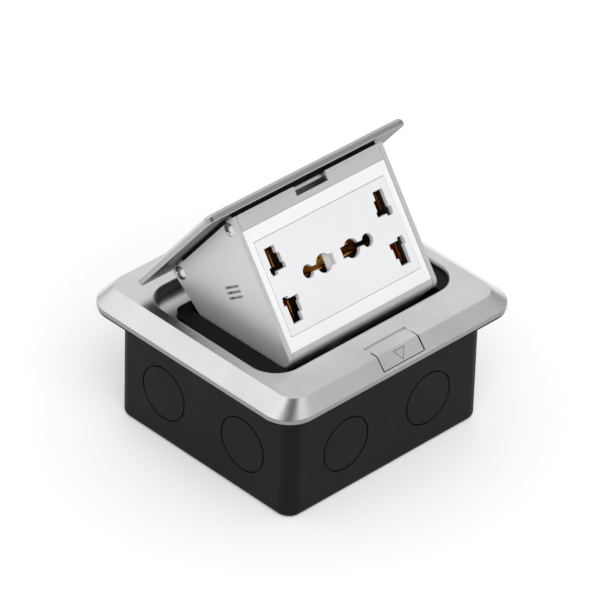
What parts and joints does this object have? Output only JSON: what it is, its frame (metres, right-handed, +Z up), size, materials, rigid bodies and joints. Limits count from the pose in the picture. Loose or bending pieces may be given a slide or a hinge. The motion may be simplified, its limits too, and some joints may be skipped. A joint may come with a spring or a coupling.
{
  "type": "desk socket box",
  "caption": "Flush-mounted desk socket box with a bevelled metal surround, a black back box and a hinged spring-up riser that carries universal power outlets.",
  "frame": {"origin": "centre of the back box's footprint, on the plane of its underside", "axes": "+X along the long side of the surround, to the right when facing the sockets; the sockets and the latch face -Y; +Z up through the desk top"},
  "size_m": [0.12, 0.11, 0.1122],
  "materials": {
    "cast_metal": "satin sprayed casting",
    "box_black": "matt black coating",
    "tray_black": "matt black moulding",
    "brushed_metal": "brushed, clear coated",
    "strip_metal": "fine brushed sheet",
    "side_metal": "satin sheet",
    "white_plastic": "white, low gloss",
    "panel_white": "cool white, low gloss",
    "case_plastic": "moulded white",
    "brass": "bright brass strip",
    "steel": "zinc plated",
    "spring_steel": "oiled spring wire",
    "bright_screw": "nickel plated",
    "shutter_grey": "light grey moulding",
    "foam": "closed cell foam"
  },
  "bodies": {
    "housing": {"back_box": "box_black", "box_screws": "steel", "earth_stud": "brass", "frame": "cast_metal", "frame_screws": "steel", "rim_seal": "foam", "inner_tray": "tray_black", "screw_caps": "tray_black", "latch_guide": "steel", "guide_screws": "steel", "detent_spring": "steel", "hinge_bracket_left": "steel", "hinge_bracket_right": "steel", "hinge_rivets": "steel", "hinge_pins": "steel", "hinge_springs": "spring_steel"},
    "riser": {"side_plate_left": "side_metal", "side_plate_right": "side_metal", "side_screws": "bright_screw", "lid": "brushed_metal", "lid_pad": "tray_black", "top_bracket": "strip_metal", "bottom_bracket": "strip_metal", "face_plate": "white_plastic", "socket_panel": "panel_white", "socket_case": "case_plastic", "case_legs": "case_plastic", "live_contacts": "brass", "neutral_contacts": "brass", "earth_contacts": "brass", "terminal_block": "case_plastic", "terminal_screws": "brass"},
    "latch": {"latch_button": "cast_metal"},
    "shutter": {"shutter": "shutter_grey"}
  },
  "joints": [
    {"name": "riser_hinge", "type": "hinge", "parent": "housing", "child": "riser", "pos_m": [0, 0.0339, 0.048], "axis": [1, 0, 0], "range_deg": [0, 51.7], "stiffness_Nm_per_rad": 0.3, "springref_deg": -28.65},
    {"name": "latch_slide", "type": "slide", "parent": "housing", "child": "latch", "axis": [0, 1, 0], "range_m": [0, 0.0025]},
    {"name": "shutter_slide", "type": "slide", "parent": "riser", "child": "shutter", "axis": [1, 0, 0], "range_m": [0, 0.004], "stiffness_N_per_m": 100, "springref_m": -0.002}
  ]
}
